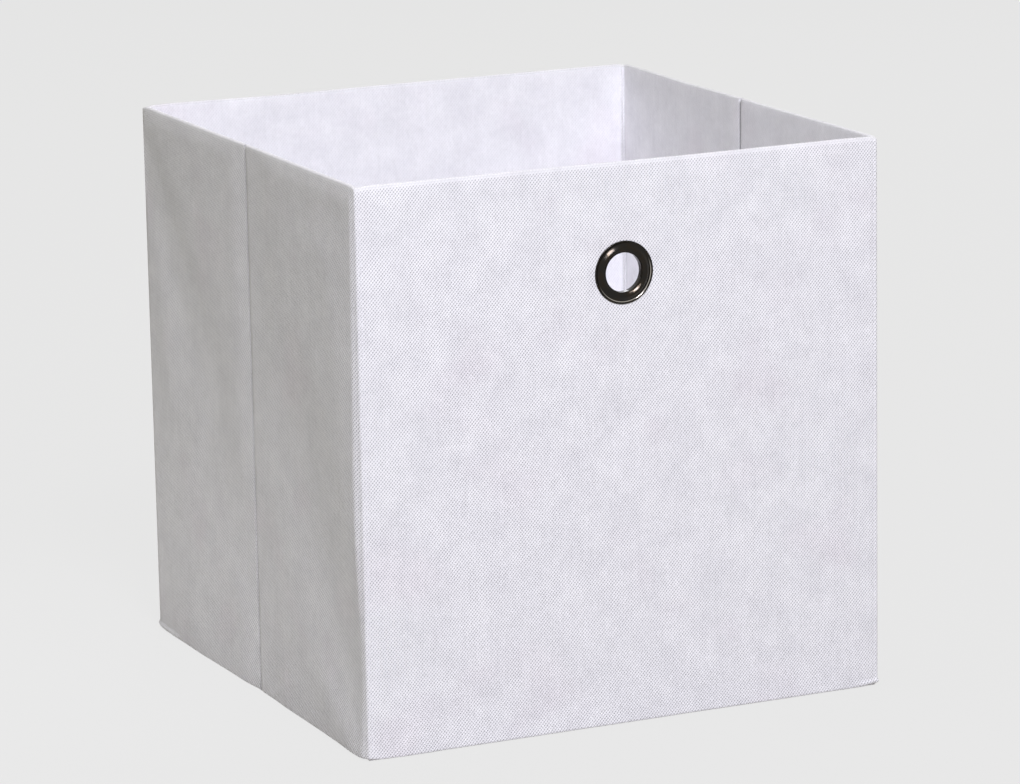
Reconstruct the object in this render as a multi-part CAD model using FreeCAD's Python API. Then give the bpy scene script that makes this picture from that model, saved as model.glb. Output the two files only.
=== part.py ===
import FreeCAD, Part
import math
import os

# A foldable storage box of white non-woven cloth over cardboard, made to slide into a cube shelf.
# The origin is the centre of the footprint, on the surface that the box stands on. +Z is up,
# the wall with the eyelet faces -Y, and +X is to the right of someone who looks at that wall.
# Lengths are in millimetres.

# Outside of the standing box
width = 320.0
depth = 320.0
height = 320.0

# Sheet materials
cloth = 0.5
wall_board = 2.0
insert_board = 2.0
base_cloth = 0.8

# Folded cloth edges
top_fold_radius = 1.0
corner_radius = 1.5
board_side_play = 1.0
board_foot_play = 1.0

# Corner folds. The side walls turn on the rolled seam inside each corner.
corner_play = 1.1
corner_bead_radius = 0.8
corner_neck = 0.6
corner_end_gap = 0.3

# Crease down the middle of each side wall, which is sewn through both layers of cloth
crease_reach = 0.5
crease_bead_radius = 0.3
crease_web = 0.5
crease_half_gap = 0.8
crease_parting = 0.8
side_lean = 0.3

# Loose insert on the bottom cloth
insert_side_play = 1.2
insert_rest_gap = 0.3
insert_corner_radius = 3.0
wall_over_insert = 0.4
hem_under_wall = 0.3

# Metal eyelet in the front wall
eyelet_below_top = 62.0
eyelet_hole_radius = 11.0
eyelet_flange_radius = 17.75
eyelet_crown_radius = 14.6
eyelet_crown = 2.3
eyelet_lip = 0.5
eyelet_throat = 0.3
eyelet_bulge = 0.2
eyelet_metal = 0.6
eyelet_curl_radius = 13.6
eyelet_cloth_play = 0.3
washer_radius = 17.0
washer_metal = 0.6
washer_play = 0.1

# Cuts reach this far past the piece that they go through, and edges are found to this closeness
cut_margin = 1.0
same_place = 0.001

# Worked out from the values above
wall = wall_board + 2 * cloth
half_width = width / 2
half_depth = depth / 2
lean = math.radians(side_lean)

corner_in_x = wall + corner_play
corner_in_y = corner_in_x + crease_parting
corner_x = half_width - corner_in_x
corner_y = half_depth - corner_in_y

crease_arm = corner_in_x + crease_reach
half_side = (corner_y - crease_arm * math.sin(lean)) / math.cos(lean)
crease_x = corner_x + crease_arm * math.cos(lean) - half_side * math.sin(lean)
crease_face = crease_x - crease_reach / math.cos(lean)
crease_inset = half_width - crease_face

insert_low = base_cloth + insert_rest_gap
insert_high = insert_low + insert_board + 2 * cloth
wall_low = insert_high + wall_over_insert
hem_high = wall_low - hem_under_wall

eyelet_height = height - eyelet_below_top
eyelet_inside = wall + washer_metal + eyelet_metal
barrel_radius = eyelet_hole_radius + eyelet_metal
insert_half_x = half_width - crease_inset - wall - insert_side_play
insert_half_y = half_depth - eyelet_inside - insert_side_play

up = FreeCAD.Vector(0, 0, 1)
centre = FreeCAD.Vector(0, 0, 0)


def prism(outline, low, high):
    """Stand a flat outline, given as (x, y) points, up from one height to another."""
    points = [FreeCAD.Vector(x, y, low) for x, y in outline]
    face = Part.Face(Part.makePolygon(points + points[:1]))
    return face.extrude(FreeCAD.Vector(0, 0, high - low))


def block(x_low, x_high, y_low, y_high, z_low, z_high):
    corner = FreeCAD.Vector(x_low, y_low, z_low)
    return Part.makeBox(x_high - x_low, y_high - y_low, z_high - z_low, corner)


def upright_edges(shape, x, y):
    """The vertical edges of a shape that stand at a place in plan."""
    found = []
    for edge in shape.Edges:
        ends = [vertex.Point for vertex in edge.Vertexes]
        if all(math.hypot(p.x - x, p.y - y) < same_place for p in ends):
            found.append(edge)
    return found


def left_to_right(shape):
    return shape.mirror(centre, FreeCAD.Vector(1, 0, 0))


def back_to_front(shape):
    return shape.mirror(centre, FreeCAD.Vector(0, 1, 0))


def arc(start, middle, end):
    return Part.Arc(start, middle, end).toShape()


def quarter(centre_point, start, end):
    """A quarter circle about a centre point, from start to end."""
    halfway = (start + end) * 0.5 - centre_point
    radius = (start - centre_point).Length
    return arc(start, centre_point + halfway.normalize() * radius, end)


def lined(*points):
    return [Part.makeLine(a, b) for a, b in zip(points, points[1:])]


def wall_sleeve(length):
    """Cloth folded over the top of a board: X runs along the wall, Y from its outer face inwards."""
    r = top_fold_radius
    top = height

    def at(y, z):
        return FreeCAD.Vector(0, y, z)

    edges = lined(at(0, wall_low), at(0, top - r))
    edges.append(quarter(at(r, top - r), at(0, top - r), at(r, top)))
    edges += lined(at(r, top), at(wall - r, top))
    edges.append(quarter(at(wall - r, top - r), at(wall - r, top), at(wall, top - r)))
    edges += lined(
        at(wall, top - r),
        at(wall, wall_low),
        at(wall - cloth, wall_low),
        at(wall - cloth, top - cloth),
        at(cloth, top - cloth),
        at(cloth, wall_low),
        at(0, wall_low),
    )
    return Part.Face(Part.Wire(edges)).extrude(FreeCAD.Vector(length, 0, 0))


def wall_panel_board(length):
    """The cardboard in a sleeve, in the same place as the sleeve."""
    side = board_side_play
    return block(side, length - side, cloth, wall - cloth, wall_low + board_foot_play, height - cloth)


def placed(shape, x, y, turn):
    """Turn a shape about the vertical through its origin, then carry it to a place in plan."""
    moved = shape.copy()
    moved.rotate(centre, up, turn)
    moved.translate(FreeCAD.Vector(x, y, 0))
    return moved


def leaned(shape):
    """Turn a piece of the left wall's rear half inwards about its corner seam."""
    moved = shape.copy()
    moved.rotate(FreeCAD.Vector(-corner_x, corner_y, 0), up, side_lean)
    return moved


# Back wall, between the two corner seams
back_length = 2 * corner_x
back_sleeve = placed(wall_sleeve(back_length), corner_x, half_depth, 180)
back_board = placed(wall_panel_board(back_length), corner_x, half_depth, 180)

# Rear half of the left wall. The other three half walls are mirrored from it.
half_start = corner_y - corner_end_gap
half_length = half_side - corner_end_gap - crease_half_gap
left_rear_sleeve = leaned(placed(wall_sleeve(half_length), -half_width, half_start, -90))
left_rear_board = leaned(placed(wall_panel_board(half_length), -half_width, half_start, -90))


def corner_seam():
    """The rear left corner: cloth wrapped round outside, with the rolled seam inside."""
    outer_x = -half_width
    outer_y = half_depth
    outline = [
        (outer_x, outer_y),
        (-corner_x, outer_y),
        (-corner_x, outer_y - wall),
        (outer_x + wall, outer_y - wall),
        (outer_x + wall, corner_y),
        (outer_x, corner_y),
    ]
    wrap = prism(outline, wall_low, height)
    wrap = wrap.makeFillet(corner_radius, upright_edges(wrap, outer_x, outer_y))
    seam_line = FreeCAD.Vector(-corner_x, corner_y, wall_low)
    bead = Part.makeCylinder(corner_bead_radius, height - wall_low, seam_line, up)
    run_x = outer_x + wall + corner_x
    run_y = outer_y - wall - corner_y
    reach = math.hypot(run_x, run_y)
    neck = block(0, reach + corner_neck, -corner_neck / 2, corner_neck / 2, wall_low, height)
    neck = placed(neck, -corner_x, corner_y, math.degrees(math.atan2(run_y, run_x)))
    return wrap.fuse([bead, neck]).removeSplitter()


def crease_seam():
    """The left crease: a web sewn between the two boards, with a round bead on the fold line."""
    fold_x = -half_width - crease_reach
    fold_y = corner_y - half_side
    inner_x = -half_width + wall
    web = block(fold_x, inner_x, fold_y - crease_web / 2, fold_y + crease_web / 2, wall_low, height)
    fill = block(-half_width, inner_x, fold_y, fold_y + crease_half_gap, wall_low, height)
    fold_line = FreeCAD.Vector(fold_x, fold_y, wall_low)
    bead = Part.makeCylinder(crease_bead_radius, height - wall_low, fold_line, up)
    return leaned(web.fuse([fill, bead]).removeSplitter())


# Bottom cloth, cut to the outline of the standing walls
base_outline = [
    (-half_width, half_depth),
    (half_width, half_depth),
    (half_width - crease_inset, 0),
    (half_width, -half_depth),
    (-half_width, -half_depth),
    (-half_width + crease_inset, 0),
]


def base_sheet():
    sheet = prism(base_outline, 0, base_cloth)
    rounded = []
    for x in (-half_width, half_width):
        for y in (-half_depth, half_depth):
            rounded += upright_edges(sheet, x, y)
    return sheet.makeFillet(corner_radius, rounded)


def back_hem():
    """The strip where the bottom cloth is turned up and sewn to the foot of the back wall."""
    strip = block(-half_width, half_width, half_depth - wall, half_depth, base_cloth, hem_high)
    for x in (-half_width, half_width):
        strip = strip.makeFillet(corner_radius, upright_edges(strip, x, half_depth))
    return strip


def left_rear_hem():
    inner_y = half_depth - wall
    outline = [
        (-half_width, inner_y),
        (-half_width + wall, inner_y),
        (-half_width + crease_inset + wall, 0),
        (-half_width + crease_inset, 0),
    ]
    return prism(outline, base_cloth, hem_high)


def insert_outline(margin, low, high):
    """The insert's outline, drawn in by a margin, between two heights."""
    x = insert_half_x - margin
    y = insert_half_y - margin
    slab = block(-x, x, -y, y, low, high)
    corners = []
    for corner_at_x in (-x, x):
        for corner_at_y in (-y, y):
            corners += upright_edges(slab, corner_at_x, corner_at_y)
    return slab.makeFillet(insert_corner_radius - margin, corners)


board_low = insert_low + cloth
board_high = board_low + insert_board
insert_bottom_cloth = insert_outline(0, insert_low, board_low)
insert_middle = insert_outline(cloth, board_low, board_high)
insert_top_cloth = insert_outline(0, board_low, insert_high).cut(insert_middle)


def eyelet_point(radius, outwards):
    """A point in the eyelet's section, at a radius and at a distance out of the front wall."""
    return FreeCAD.Vector(radius, -half_depth - outwards, eyelet_height)


eyelet_axis = FreeCAD.Vector(0, -half_depth, eyelet_height)
outwards = FreeCAD.Vector(0, -1, 0)


def bulged(start, end):
    """An arc of the domed flange, which stands out of its chord by a share of the chord's length."""
    chord = end - start
    side = chord.cross(up).normalize()
    if side.y > 0:
        side = -side
    return arc(start, (start + end) * 0.5 + side * chord.Length * eyelet_bulge, end)


def eyelet_ring():
    """Domed flange, straight barrel, and the curl that is rolled over the washer inside."""
    curl_low = -eyelet_inside
    curl_high = -wall - washer_metal
    metal = eyelet_metal
    rim = eyelet_point(eyelet_flange_radius, eyelet_lip)
    crown = eyelet_point(eyelet_crown_radius, eyelet_crown)
    throat = eyelet_point(eyelet_hole_radius, -eyelet_throat)
    edges = lined(eyelet_point(eyelet_flange_radius, 0), rim)
    edges.append(bulged(rim, crown))
    edges.append(bulged(crown, throat))
    edges += lined(throat, eyelet_point(eyelet_hole_radius, curl_high))
    edges.append(
        quarter(
            eyelet_point(barrel_radius, curl_high),
            eyelet_point(eyelet_hole_radius, curl_high),
            eyelet_point(barrel_radius, curl_low),
        )
    )
    edges += lined(
        eyelet_point(barrel_radius, curl_low),
        eyelet_point(eyelet_curl_radius - metal, curl_low),
    )
    edges.append(
        quarter(
            eyelet_point(eyelet_curl_radius - metal, curl_high),
            eyelet_point(eyelet_curl_radius - metal, curl_low),
            eyelet_point(eyelet_curl_radius, curl_high),
        )
    )
    edges += lined(
        eyelet_point(eyelet_curl_radius, curl_high),
        eyelet_point(barrel_radius, curl_high),
        eyelet_point(barrel_radius, 0),
        eyelet_point(eyelet_flange_radius, 0),
    )
    section = Part.Face(Part.Wire(edges))
    return section.revolve(eyelet_axis, outwards, 360)


def eyelet_washer():
    inner = barrel_radius + washer_play
    start = eyelet_axis + FreeCAD.Vector(0, wall, 0)
    disc = Part.makeCylinder(washer_radius, washer_metal, start, -outwards)
    return disc.cut(Part.makeCylinder(inner, washer_metal, start, -outwards))


def with_eyelet_hole(shape):
    start = eyelet_axis + outwards * cut_margin
    length = wall + 2 * cut_margin
    hole = Part.makeCylinder(barrel_radius + eyelet_cloth_play, length, start, -outwards)
    return shape.cut(hole)


rear_left_seam = corner_seam()
left_crease = crease_seam()
rear_hem = back_hem()
side_hem = left_rear_hem()
front_left_sleeve = back_to_front(left_rear_sleeve)
front_left_board = back_to_front(left_rear_board)

pieces = {
    "back_sleeve": back_sleeve,
    "back_board": back_board,
    "front_sleeve": with_eyelet_hole(back_to_front(back_sleeve)),
    "front_board": with_eyelet_hole(back_to_front(back_board)),
    "left_rear_sleeve": left_rear_sleeve,
    "left_rear_board": left_rear_board,
    "left_front_sleeve": front_left_sleeve,
    "left_front_board": front_left_board,
    "right_rear_sleeve": left_to_right(left_rear_sleeve),
    "right_rear_board": left_to_right(left_rear_board),
    "right_front_sleeve": left_to_right(front_left_sleeve),
    "right_front_board": left_to_right(front_left_board),
    "corner_seam_back_left": rear_left_seam,
    "corner_seam_back_right": left_to_right(rear_left_seam),
    "corner_seam_front_left": back_to_front(rear_left_seam),
    "corner_seam_front_right": back_to_front(left_to_right(rear_left_seam)),
    "crease_seam_left": left_crease,
    "crease_seam_right": left_to_right(left_crease),
    "base_cloth": base_sheet(),
    "base_hem_back": rear_hem,
    "base_hem_front": back_to_front(rear_hem),
    "base_hem_left_rear": side_hem,
    "base_hem_left_front": back_to_front(side_hem),
    "base_hem_right_rear": left_to_right(side_hem),
    "base_hem_right_front": back_to_front(left_to_right(side_hem)),
    "insert_board": insert_middle,
    "insert_top_cloth": insert_top_cloth,
    "insert_bottom_cloth": insert_bottom_cloth,
    "eyelet_ring": eyelet_ring(),
    "eyelet_washer": eyelet_washer(),
}

os.makedirs("parts", exist_ok=True)
for name, shape in pieces.items():
    shape.exportStep(f"parts/{name}.step")

print(f"corner seams at x {corner_x:.3f}, y {corner_y:.3f}")
print(f"crease fold lines at x {crease_x:.3f}, pushed in by {crease_inset:.3f}")
print(f"walls start at z {wall_low:.3f}, insert top at z {insert_high:.3f}")
print(f"insert {2 * insert_half_x:.2f} by {2 * insert_half_y:.2f}")
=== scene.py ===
import math

import bmesh
import bpy
import numpy as np
from mathutils import Matrix, Vector


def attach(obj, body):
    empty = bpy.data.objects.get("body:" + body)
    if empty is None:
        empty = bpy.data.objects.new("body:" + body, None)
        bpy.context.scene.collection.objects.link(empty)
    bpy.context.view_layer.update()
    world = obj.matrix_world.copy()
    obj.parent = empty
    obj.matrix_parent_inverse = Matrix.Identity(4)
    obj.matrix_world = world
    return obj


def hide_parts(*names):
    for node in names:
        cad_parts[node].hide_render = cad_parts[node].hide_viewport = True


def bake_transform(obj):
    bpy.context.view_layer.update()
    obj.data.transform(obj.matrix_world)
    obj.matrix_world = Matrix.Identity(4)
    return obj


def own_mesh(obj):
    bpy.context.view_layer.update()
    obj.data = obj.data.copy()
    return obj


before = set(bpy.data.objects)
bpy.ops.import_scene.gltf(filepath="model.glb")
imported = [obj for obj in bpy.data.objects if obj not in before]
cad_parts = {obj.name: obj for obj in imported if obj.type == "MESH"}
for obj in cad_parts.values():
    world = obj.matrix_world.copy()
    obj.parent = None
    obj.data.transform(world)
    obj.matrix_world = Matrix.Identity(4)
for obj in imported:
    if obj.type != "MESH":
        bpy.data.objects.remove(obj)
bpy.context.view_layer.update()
print("frame loaded")

# The box's shapes are written in millimetres, and turned into metres where their meshes are made
mm = 0.001

box = {
    "half": 160.0,
    "height": 320.0,
    "wall": 3.0,
    "seamX": 155.9,  # the corner seams' upright lines, which the side walls turn on
    "seamY": 155.1,
    "lean": math.radians(0.3),
    "foldArm": 4.6,
    "foldX": 159.688,  # the crease's upright line
    "foot": 4.4,  # where the wall covers end and the hems take over
    "legLength": 10.0,  # reach of a corner's cloth along each wall
    "creaseReach": 6.0,
    "creaseBend": 1.2,  # how far on each side of its line a crease bends
    "cornerRadius": 1.5,
    "topRadius": 1.3,
    "rowStep": 3.0,
}
halfSide = (box["seamY"] - box["foldArm"] * math.sin(box["lean"])) / math.cos(box["lean"])
cornerToSeam = box["half"] - box["seamY"]

# How each wall's cloth stands out of its plane. Along a side wall, u runs from its rear corner, and
# along the front and back from the left corner. A drag line has its two ends as (u, height), how far
# it stands out at each, and how wide it is at each. A wave has its seed, how many waves it adds up, their
# shortest and longest length, and their height.
wallForm = {
    "front": {
        "base": 0.25,
        "wave": (11, 16, 34, 90, 0.20),
        "cornerFade": 14,
        "drags": [
            ((18, 6), (40, 8), (0.9, 0.5), (13, 15)),
            ((60, 30), (150, 12), (-0.2, -0.2), (14, 14)),
        ],
        "lifts": (0.9, 1.0),  # how far the cloth's lower tip stands off the floor at each end
    },
    "back": {
        "base": 0.30,
        "wave": (12, 16, 40, 100, 0.22),
        "cornerFade": 14,
        "drags": [
            ((8, 300), (96, 190), (-0.5, -0.4), (9, 22)),
            ((312, 20), (230, 110), (-0.5, -0.4), (8, 22)),
        ],
        "lifts": (1.6, 1.2),
    },
    "left": {
        "base": 1.03,
        "wave": (13, 16, 34, 80, 0.08),
        "cornerFade": 6,
        "drags": [
            ((-3, 298), (112, 155), (-2.0, -1.4), (18, 30)),
            ((82, 133), (168, 82), (-1.2, -1.2), (42, 42)),
            ((17, 277), (37, 140), (0.3, 0.8), (9, 19)),
            ((197, 191), (306, 39), (-1.4, -1.35), (42, 18)),
            ((256, 278), (331, 92), (2.5, 1.2), (42, 22)),
            ((162, 93), (309, -1), (-0.85, 2.0), (25, 12)),
            ((25, 32), (136, 12), (0.55, 2.3), (42, 42)),
        ],
        "lifts": (1.6, 0.9),
    },
    "right": {
        "base": 0.85,
        "wave": (14, 16, 36, 90, 0.14),
        "cornerFade": 9,
        "drags": [
            ((8, 16), (118, 132), (-1.1, -1.2), (9, 22)),
            ((316, 304), (212, 166), (-1.1, -1.3), (8, 22)),
            ((302, 30), (212, 96), (0.7, 0.5), (10, 20)),
            ((24, 280), (110, 230), (0.5, 0.4), (16, 22)),
        ],
        "lifts": (1.2, 1.0),
    },
}
innerWave = (15, 18, 36, 90, 0.20)
# A crease's section as (t, rise), with t negative on the rear half. Its deep part lies between the boards,
# and at its line the cloth is pressed thin, so that the two creases clear each other in the folded box.
creaseForm = (
    (-6.0, 0.0), (-3.5, -0.04), (-1.8, -0.14), (-0.9, -0.38), (-0.4, -0.48), (0.0, -0.24), (0.3, -0.46),
    (0.6, -0.98), (1.0, -0.68), (1.5, -0.40), (2.2, -0.22), (3.2, -0.08), (4.5, 0.0),
)
innerCrease = (
    (-20.0, 0.0), (-11.0, 0.16), (-5.0, -0.05), (-1.8, -0.34), (-0.95, -0.55), (-0.6, -1.3), (-0.3, -2.45),
    (0.0, -2.67), (0.3, -2.45), (0.6, -1.3), (0.95, -0.55), (1.8, -0.32), (3.0, -0.12), (5.0, 0.0),
)
# How the cloth of each half comes down to the crease: over what reach, to what level, and its share of
# the room between the folded halves
creaseEase = {"rear": (11.0, -0.28, 0.45), "front": (7.5, -0.15, -0.45)}
cornerForm = {"stitchAt": 2.7, "groove": 0.24, "grooveWidth": 0.55}
eyeletAt = {"x": 0.0, "z": 258.0, "flange": 17.75, "ease": 13.0}
relief = {
    "topEase": 9,  # how far below the top it starts to fade
    "deepest": -0.4,
    "room": 0.4,  # most that the cloth may stand out beside a crease, and how it grows away from it
    "roomGrowth": 0.0175,
    "sharedAt": 22,  # where one half takes room from the other, and over what width
    "sharedWidth": 16,
    "atEyelet": 0.08,
    "inside": 0.22,
    "insideAtEyelet": 0.05,
    "insideCorner": (4, 14),
    "insideFoot": (2, 30),
}
edgeForm = {
    "footReach": 6.5,  # how far from a corner its tip is lifted, and up to what height
    "footHeight": 16,
    "topWave": (16, 8, 60, 160, 0.22),
    "topFade": 20,
    "topDrop": 0.6,  # how much lower the corners stand
    "dropReach": 3.5,
    "topBand": (26, 22),  # how far below the top the shift starts, and over what height it grows
}


def smooth(value):
    value = np.clip(value, 0, 1)
    return value * value * (3 - 2 * value)


def softLeast(a, b, sharp=9.0):
    return -np.logaddexp(-sharp * a, -sharp * b) / sharp


def softMost(a, b, sharp=9.0):
    return np.logaddexp(sharp * a, sharp * b) / sharp


# Slow waves in the cloth, as a function of the place along the wall and up it
def gentleWaves(seed, count, shortest, longest, height):
    draw = np.random.default_rng(seed)
    length = draw.uniform(shortest, longest, count)
    heading = draw.uniform(0, math.tau, count)
    start = draw.uniform(0, math.tau, count)
    share = draw.uniform(0.5, 1.0, count) * height / math.sqrt(count)

    def wave(u, z):
        total = 0.0
        for k in range(count):
            along = u * math.cos(heading[k]) + z * math.sin(heading[k])
            total = total + share[k] * np.sin(math.tau * along / length[k] + start[k])
        return total

    return wave


def drag(u, z, start, end, height, width, fade=0.12):
    du, dz = end[0] - start[0], end[1] - start[1]
    length = math.hypot(du, dz)
    along = ((u - start[0]) * du + (z - start[1]) * dz) / length**2
    across = ((u - start[0]) * dz - (z - start[1]) * du) / length
    share = np.clip(along, 0, 1)
    tall = height[0] + (height[1] - height[0]) * share
    wide = width[0] + (width[1] - width[0]) * share
    ends = smooth((along + fade) / (2 * fade)) * smooth((1 + fade - along) / (2 * fade))
    return tall * ends * np.exp(-((across / wide) ** 2))


waves = {side: gentleWaves(*form["wave"]) for side, form in wallForm.items()}
innerWaves = gentleWaves(*innerWave)
topWaves = gentleWaves(*edgeForm["topWave"])


def pressed(t, form):
    places, rises = zip(*form)
    return np.interp(t, places, rises)


# Level inside the eyelet's flange, and easing out to the loose cloth round it
def eyeletEase(u, z):
    away = np.hypot(u - box["half"] - eyeletAt["x"], z - eyeletAt["z"])
    return smooth((away - eyeletAt["flange"]) / eyeletAt["ease"])


def toCorner(u):
    return np.minimum(u, 2 * box["half"] - u)


# Beside a crease the cloth keeps to the room that the other half leaves it when the box is folded
def besideCrease(loose, t):
    away = np.abs(t)
    reach, low, share = [np.where(t < 0, *pair) for pair in zip(creaseEase["rear"], creaseEase["front"])]
    loose = low + (loose - low) * (1 - np.exp(-((away / reach) ** 2)))
    shared = share * np.exp(-(((away - relief["sharedAt"]) / relief["sharedWidth"]) ** 2))
    room = relief["room"] + relief["roomGrowth"] * away + shared
    return smooth(away / box["creaseBend"]) * softMost(softLeast(loose, room), relief["deepest"])


def outerForm(side, u, z):
    form = wallForm[side]
    fromCorner = toCorner(u)
    ends = smooth(fromCorner / form["cornerFade"]) * smooth((box["height"] - z) / relief["topEase"])
    loose = form["base"] + waves[side](u, z)
    for start, end, height, width in form["drags"]:
        loose = loose + drag(u, z, start, end, height, width)
    if side in ("left", "right"):
        t = u - box["half"]
        return ends * besideCrease(loose, t) + pressed(t, creaseForm)
    if side == "front":
        loose = relief["atEyelet"] + (loose - relief["atEyelet"]) * eyeletEase(u, z)
    seam = np.exp(-(((fromCorner - cornerForm["stitchAt"]) / cornerForm["grooveWidth"]) ** 2))
    return ends * softMost(loose, relief["deepest"]) - cornerForm["groove"] * seam


def innerForm(side, u, z):
    corner, cornerFade = relief["insideCorner"]
    foot, footFade = relief["insideFoot"]
    fromCorner = toCorner(u)
    ends = smooth((fromCorner - corner) / cornerFade) * smooth((box["height"] - z) / relief["topEase"])
    ends = ends * smooth((z - foot) / footFade)
    shift = {"front": 0, "back": 170, "left": 340, "right": 510}[side]
    loose = relief["inside"] + innerWaves(u + shift, z)
    if side == "front":
        level = relief["insideAtEyelet"]
        loose = level + (loose - level) * eyeletEase(u, z)
    if side in ("front", "back"):
        return ends * loose
    t = u - box["half"]
    return ends * smooth(np.abs(t) / box["creaseBend"]) * loose + pressed(t, innerCrease)


# How far the cloth's edge is moved up or down, at the foot of each corner and along the top
def edgeShift(side, u, z):
    form = edgeForm
    left, right = wallForm[side]["lifts"]
    other = 2 * box["half"] - u
    reach = form["footReach"]
    foot = left * np.exp(-((u / reach) ** 2)) + right * np.exp(-((other / reach) ** 2))
    foot = foot * np.clip(1 - z / form["footHeight"], 0, 1) ** 2
    fromCorner = toCorner(u)
    turn = {"front": 0, "back": 200, "left": 400, "right": 600}[side]
    top = topWaves(u, np.full_like(u, turn)) * smooth(fromCorner / form["topFade"])
    top = top - form["topDrop"] * np.exp(-((fromCorner / form["dropReach"]) ** 2))
    band, fade = form["topBand"]
    return foot + top * smooth((z - box["height"] + band) / fade)


cornerSaving = box["cornerRadius"] * (2 - math.pi / 2)  # the cloth's way round a corner is this much shorter
clothLap = 4 * (2 * box["half"] - cornerSaving)  # once round the box


# The place across the cloth, counted round the box from the middle of the front
def clothAt(side, u):
    turns = {"front": 1, "left": 3, "back": 3, "right": 5}[side]
    corners = {"front": 0, "left": 1, "back": 2, "right": 3}[side]
    along = u if side in ("front", "left") else -u
    return along - turns * box["half"] + corners * cornerSaving


# Matching points on a wall's outer and inner face, seen from above
def station(side, u, outer, inner, outNormal, inNormal):
    place = {"side": side, "u": u, "cloth": clothAt(side, u)}
    return place | {"outer": outer, "inner": inner, "outNormal": outNormal, "inNormal": inNormal}


def flatStation(side, x):
    out = -1.0 if side == "front" else 1.0
    inner = out * (box["half"] - box["wall"])
    return station(side, x + box["half"], (x, out * box["half"]), (x, inner), (0.0, out), (0.0, -out))


flatOf = {"rear": "back", "front": "front"}


# Every corner and half is drawn as the rear left one, and turned over to its own place
def mirrors(side, end):
    return 1.0 if side == "left" else -1.0, 1.0 if end == "rear" else -1.0


# A point of a side wall's half, s along it from its corner seam
def halfStation(side, end, s):
    mirrorX, mirrorY = mirrors(side, end)
    lean = box["lean"] if s >= 0 else 0.0
    along = (math.sin(lean), -math.cos(lean))
    out = (-math.cos(lean), -math.sin(lean))
    face = box["half"] - box["seamX"]

    def place(d):
        x = -box["seamX"] + along[0] * s + out[0] * d
        y = box["seamY"] + along[1] * s + out[1] * d
        return (mirrorX * x, mirrorY * y)

    reach = s + cornerToSeam
    u = reach if end == "rear" else 2 * box["half"] - reach
    normal = (mirrorX * out[0], mirrorY * out[1])
    back = (-normal[0], -normal[1])
    return station(side, u, place(face), place(face - box["wall"]), normal, back)


cornerSteps = {
    # outer and inner distance from the middle of the front or back wall
    "flat": (
        (150.0, 150.0), (151.5, 151.4), (153.0, 152.6), (154.4, 153.5), (155.6, 154.1), (156.5, 154.5),
        (156.95, 154.65), (157.15, 154.75), (157.3, 154.8), (157.45, 154.85),
    ),
    "beadNeck": ((-155.2, 157.0), (-155.8, 156.65)),
    "beadAngles": (45, 20, -5, -27, -45, -63, -85, -110, -135),
    "bead": (156.3, 155.9),
    "beadRadius": 0.4,
    "beadFoot": ((-156.85, 155.2), (-157.0, 154.6)),
    # outer and inner distance along the side wall from the corner seam
    "side": (
        (-1.8, 1.3), (-1.0, 1.6), (0.0, 1.9), (1.0, 2.4), (2.0, 3.0), (3.0, 3.7), (4.0, 4.4), (5.1, 5.1),
    ),
}
stitchStation = 8
cornerMiddle = 16


# The cloth round a corner, from the front or back wall to the side wall
def cornerStations(side, end):
    flat = flatOf[end]
    mirrorX, mirrorY = mirrors(side, end)
    half, radius = box["half"], box["cornerRadius"]
    found = []
    for outerX, innerX in cornerSteps["flat"]:
        made = flatStation(flat, -mirrorX * outerX)
        made["inner"] = (-mirrorX * innerX, made["inner"][1])
        found.append(made)
    bead = list(cornerSteps["beadNeck"])
    beadX, beadY = cornerSteps["bead"]
    for angle in np.radians(cornerSteps["beadAngles"]):
        thick = cornerSteps["beadRadius"]
        bead.append((-beadX + thick * math.cos(angle), beadY + thick * math.sin(angle)))
    bead += cornerSteps["beadFoot"]
    count = len(bead)
    flatCloth = clothAt(flat, radius if side == "left" else 2 * half - radius)
    turn = 1.0 if (side == "left") == (end == "rear") else -1.0
    for k, (x, y) in enumerate(bead):
        angle = math.pi / 2 * (1 + k / (count - 1))
        outerPoint = (
            mirrorX * (-half + radius + radius * math.cos(angle)),
            mirrorY * (half - radius + radius * math.sin(angle)),
        )
        normal = (mirrorX * math.cos(angle), mirrorY * math.sin(angle))
        nearSide = k > count // 2
        reach = radius * abs(math.pi / 4 - (angle - math.pi / 2))
        low = end == "rear" if nearSide else side == "left"
        u = reach if low else 2 * half - reach
        ends = outerPoint, (mirrorX * x, mirrorY * y)
        made = station(side if nearSide else flat, u, *ends, normal, (-normal[0], -normal[1]))
        made["cloth"] = flatCloth + turn * radius * (angle - math.pi / 2)
        found.append(made)
    for outerS, innerS in cornerSteps["side"]:
        made = halfStation(side, end, outerS)
        made["inner"] = halfStation(side, end, innerS)["inner"]
        if (side, end) == ("right", "front"):
            made["cloth"] += clothLap
        found.append(made)
    return found


creaseSteps = (5.4, 4.8, 4.2, 3.6, 3.1, 2.6, 2.2, 1.8, 1.5, 1.2, 0.95, 0.75, 0.6, 0.45, 0.3, 0.15)


# Across a crease, from the rear half to the front half
def creaseStations(side):
    steps = (box["creaseReach"],) + creaseSteps
    rear = [halfStation(side, "rear", halfSide - t) for t in steps]
    front = [halfStation(side, "front", halfSide - t) for t in reversed(steps)]
    middle = halfStation(side, "rear", halfSide)
    out = -1.0 if side == "left" else 1.0
    middle |= {"outNormal": (out, 0.0), "inNormal": (-out, 0.0)}
    middle |= {face: (middle[face][0], 0.0) for face in ("outer", "inner")}
    return rear + [middle] + front


def spread(low, high, step):
    count = max(2, round(abs(high - low) / step) + 1)
    return np.linspace(low, high, count)


def newObject(name, data):
    made = bpy.data.objects.new(name, data)
    bpy.context.scene.collection.objects.link(made)
    return made


# Sets a camera or lamp in its place, facing away from back
def stand(made, right, up, back, place):
    turned = Matrix((right, up, back)).transposed().to_4x4()
    turned.translation = place
    made.matrix_world = turned


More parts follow.
